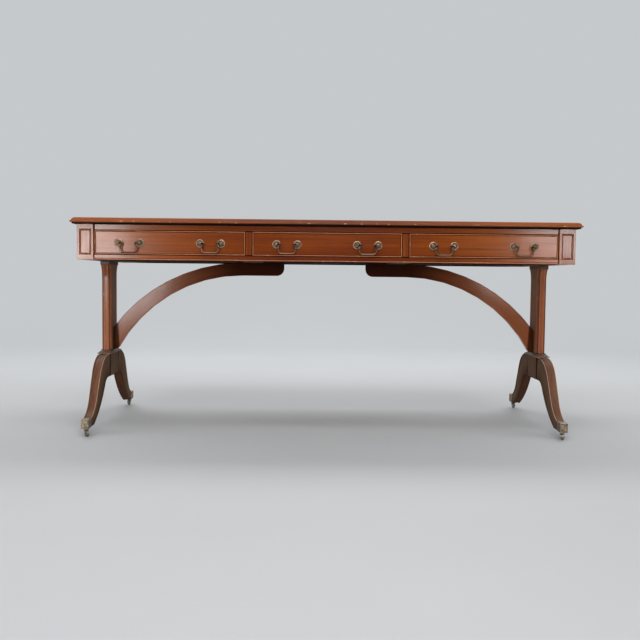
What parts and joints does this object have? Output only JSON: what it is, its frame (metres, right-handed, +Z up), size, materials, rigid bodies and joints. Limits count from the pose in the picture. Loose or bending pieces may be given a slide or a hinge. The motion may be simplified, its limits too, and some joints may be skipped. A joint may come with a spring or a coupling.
{
  "type": "library table",
  "caption": "Mahogany library table: drawered frieze with swan-neck bail handles, flat end columns, arched brackets and sabre legs on brass box casters.",
  "frame": {"origin": "on the floor under the middle of the top", "axes": "+X along the table to the right of a person facing the drawers, +Y from the drawers to the back, +Z up"},
  "size_m": [1.78, 0.79, 0.772],
  "materials": {
    "top_mahogany": "French polished, worn at the edge moulding",
    "frame_mahogany": "French polished",
    "bracket_mahogany": "dark polish",
    "cock_bead_mahogany": "polished, rubbed pale",
    "carcase_wood": "plain planed softwood",
    "drawer_lining": "plain planed oak",
    "handle_brass": "aged lacquered brass",
    "caster_brass": "dull brass with an olive patina"
  },
  "bodies": {
    "table": {"arched_bracket_left": "bracket_mahogany", "arched_bracket_right": "bracket_mahogany", "back_apron": "frame_mahogany", "back_cock_beads": "cock_bead_mahogany", "bracket_bearer": "carcase_wood", "caster_cups": "caster_brass", "column_caps": "frame_mahogany", "column_left": "frame_mahogany", "column_right": "frame_mahogany", "corner_post_back_left": "frame_mahogany", "corner_post_back_right": "frame_mahogany", "corner_post_front_left": "frame_mahogany", "corner_post_front_right": "frame_mahogany", "drawer_dividers": "frame_mahogany", "drawer_guides": "carcase_wood", "drawer_kickers": "carcase_wood", "drawer_runners": "carcase_wood", "drawer_stops": "carcase_wood", "end_apron_left": "frame_mahogany", "end_apron_right": "frame_mahogany", "end_bearer_left": "carcase_wood", "end_bearer_right": "carcase_wood", "front_bottom_rail": "frame_mahogany", "front_top_rail": "frame_mahogany", "leg_back_left": "frame_mahogany", "leg_back_right": "frame_mahogany", "leg_blocks": "frame_mahogany", "leg_front_left": "frame_mahogany", "leg_front_right": "frame_mahogany", "plinth_left": "frame_mahogany", "plinth_right": "frame_mahogany", "table_top": "top_mahogany"},
    "drawer_left": {"drawer_left_front": "frame_mahogany", "drawer_left_box": "drawer_lining", "drawer_left_cock_beads": "cock_bead_mahogany", "drawer_left_handle_mounts": "handle_brass"},
    "bail_left_left": {"drawer_left_bail_left": "handle_brass"},
    "bail_left_right": {"drawer_left_bail_right": "handle_brass"},
    "drawer_middle": {"drawer_middle_front": "frame_mahogany", "drawer_middle_box": "drawer_lining", "drawer_middle_cock_beads": "cock_bead_mahogany", "drawer_middle_handle_mounts": "handle_brass"},
    "bail_middle_left": {"drawer_middle_bail_left": "handle_brass"},
    "bail_middle_right": {"drawer_middle_bail_right": "handle_brass"},
    "drawer_right": {"drawer_right_front": "frame_mahogany", "drawer_right_box": "drawer_lining", "drawer_right_cock_beads": "cock_bead_mahogany", "drawer_right_handle_mounts": "handle_brass"},
    "bail_right_left": {"drawer_right_bail_left": "handle_brass"},
    "bail_right_right": {"drawer_right_bail_right": "handle_brass"},
    "fork_front_left": {"caster_fork_front_left": "caster_brass"},
    "wheel_front_left": {"caster_wheel_front_left": "caster_brass"},
    "fork_front_right": {"caster_fork_front_right": "caster_brass"},
    "wheel_front_right": {"caster_wheel_front_right": "caster_brass"},
    "fork_back_left": {"caster_fork_back_left": "caster_brass"},
    "wheel_back_left": {"caster_wheel_back_left": "caster_brass"},
    "fork_back_right": {"caster_fork_back_right": "caster_brass"},
    "wheel_back_right": {"caster_wheel_back_right": "caster_brass"}
  },
  "joints": [
    {"name": "drawer_left_slide", "type": "slide", "parent": "table", "child": "drawer_left", "axis": [0, -1, 0], "range_m": [0, 0.4]},
    {"name": "bail_left_left_swing", "type": "hinge", "parent": "drawer_left", "child": "bail_left_left", "pos_m": [-0.68933, -0.387, 0.6855], "axis": [-1, 0, 0], "range_deg": [-15, 110]},
    {"name": "bail_left_right_swing", "type": "hinge", "parent": "drawer_left", "child": "bail_left_right", "pos_m": [-0.40733, -0.387, 0.6855], "axis": [-1, 0, 0], "range_deg": [-15, 110]},
    {"name": "drawer_middle_slide", "type": "slide", "parent": "table", "child": "drawer_middle", "axis": [0, -1, 0], "range_m": [0, 0.4]},
    {"name": "bail_middle_left_swing", "type": "hinge", "parent": "drawer_middle", "child": "bail_middle_left", "pos_m": [-0.141, -0.387, 0.6855], "axis": [-1, 0, 0], "range_deg": [-15, 110]},
    {"name": "bail_middle_right_swing", "type": "hinge", "parent": "drawer_middle", "child": "bail_middle_right", "pos_m": [0.141, -0.387, 0.6855], "axis": [-1, 0, 0], "range_deg": [-15, 110]},
    {"name": "drawer_right_slide", "type": "slide", "parent": "table", "child": "drawer_right", "axis": [0, -1, 0], "range_m": [0, 0.4]},
    {"name": "bail_right_left_swing", "type": "hinge", "parent": "drawer_right", "child": "bail_right_left", "pos_m": [0.40733, -0.387, 0.6855], "axis": [-1, 0, 0], "range_deg": [-15, 110]},
    {"name": "bail_right_right_swing", "type": "hinge", "parent": "drawer_right", "child": "bail_right_right", "pos_m": [0.68933, -0.387, 0.6855], "axis": [-1, 0, 0], "range_deg": [-15, 110]},
    {"name": "caster_front_left_swivel", "type": "hinge", "parent": "table", "child": "fork_front_left", "pos_m": [-0.85, -0.3451, 0.028], "axis": [0, 0, 1], "continuous": true},
    {"name": "caster_front_left_spin", "type": "hinge", "parent": "fork_front_left", "child": "wheel_front_left", "pos_m": [-0.84484, -0.35247, 0.012], "axis": [-0.8192, -0.5736, 0], "continuous": true},
    {"name": "caster_front_right_swivel", "type": "hinge", "parent": "table", "child": "fork_front_right", "pos_m": [0.85, -0.3451, 0.028], "axis": [0, 0, 1], "continuous": true},
    {"name": "caster_front_right_spin", "type": "hinge", "parent": "fork_front_right", "child": "wheel_front_right", "pos_m": [0.84767, -0.35379, 0.012], "axis": [-0.9659, 0.2588, 0], "continuous": true},
    {"name": "caster_back_left_swivel", "type": "hinge", "parent": "table", "child": "fork_back_left", "pos_m": [-0.85, 0.3451, 0.028], "axis": [0, 0, 1], "continuous": true},
    {"name": "caster_back_left_spin", "type": "hinge", "parent": "fork_back_left", "child": "wheel_back_left", "pos_m": [-0.85308, 0.35356, 0.012], "axis": [0.9397, 0.342, 0], "continuous": true},
    {"name": "caster_back_right_swivel", "type": "hinge", "parent": "table", "child": "fork_back_right", "pos_m": [0.85, 0.3451, 0.028], "axis": [0, 0, 1], "continuous": true},
    {"name": "caster_back_right_spin", "type": "hinge", "parent": "fork_back_right", "child": "wheel_back_right", "pos_m": [0.8538, 0.35325, 0.012], "axis": [0.9063, -0.4226, 0], "continuous": true}
  ]
}
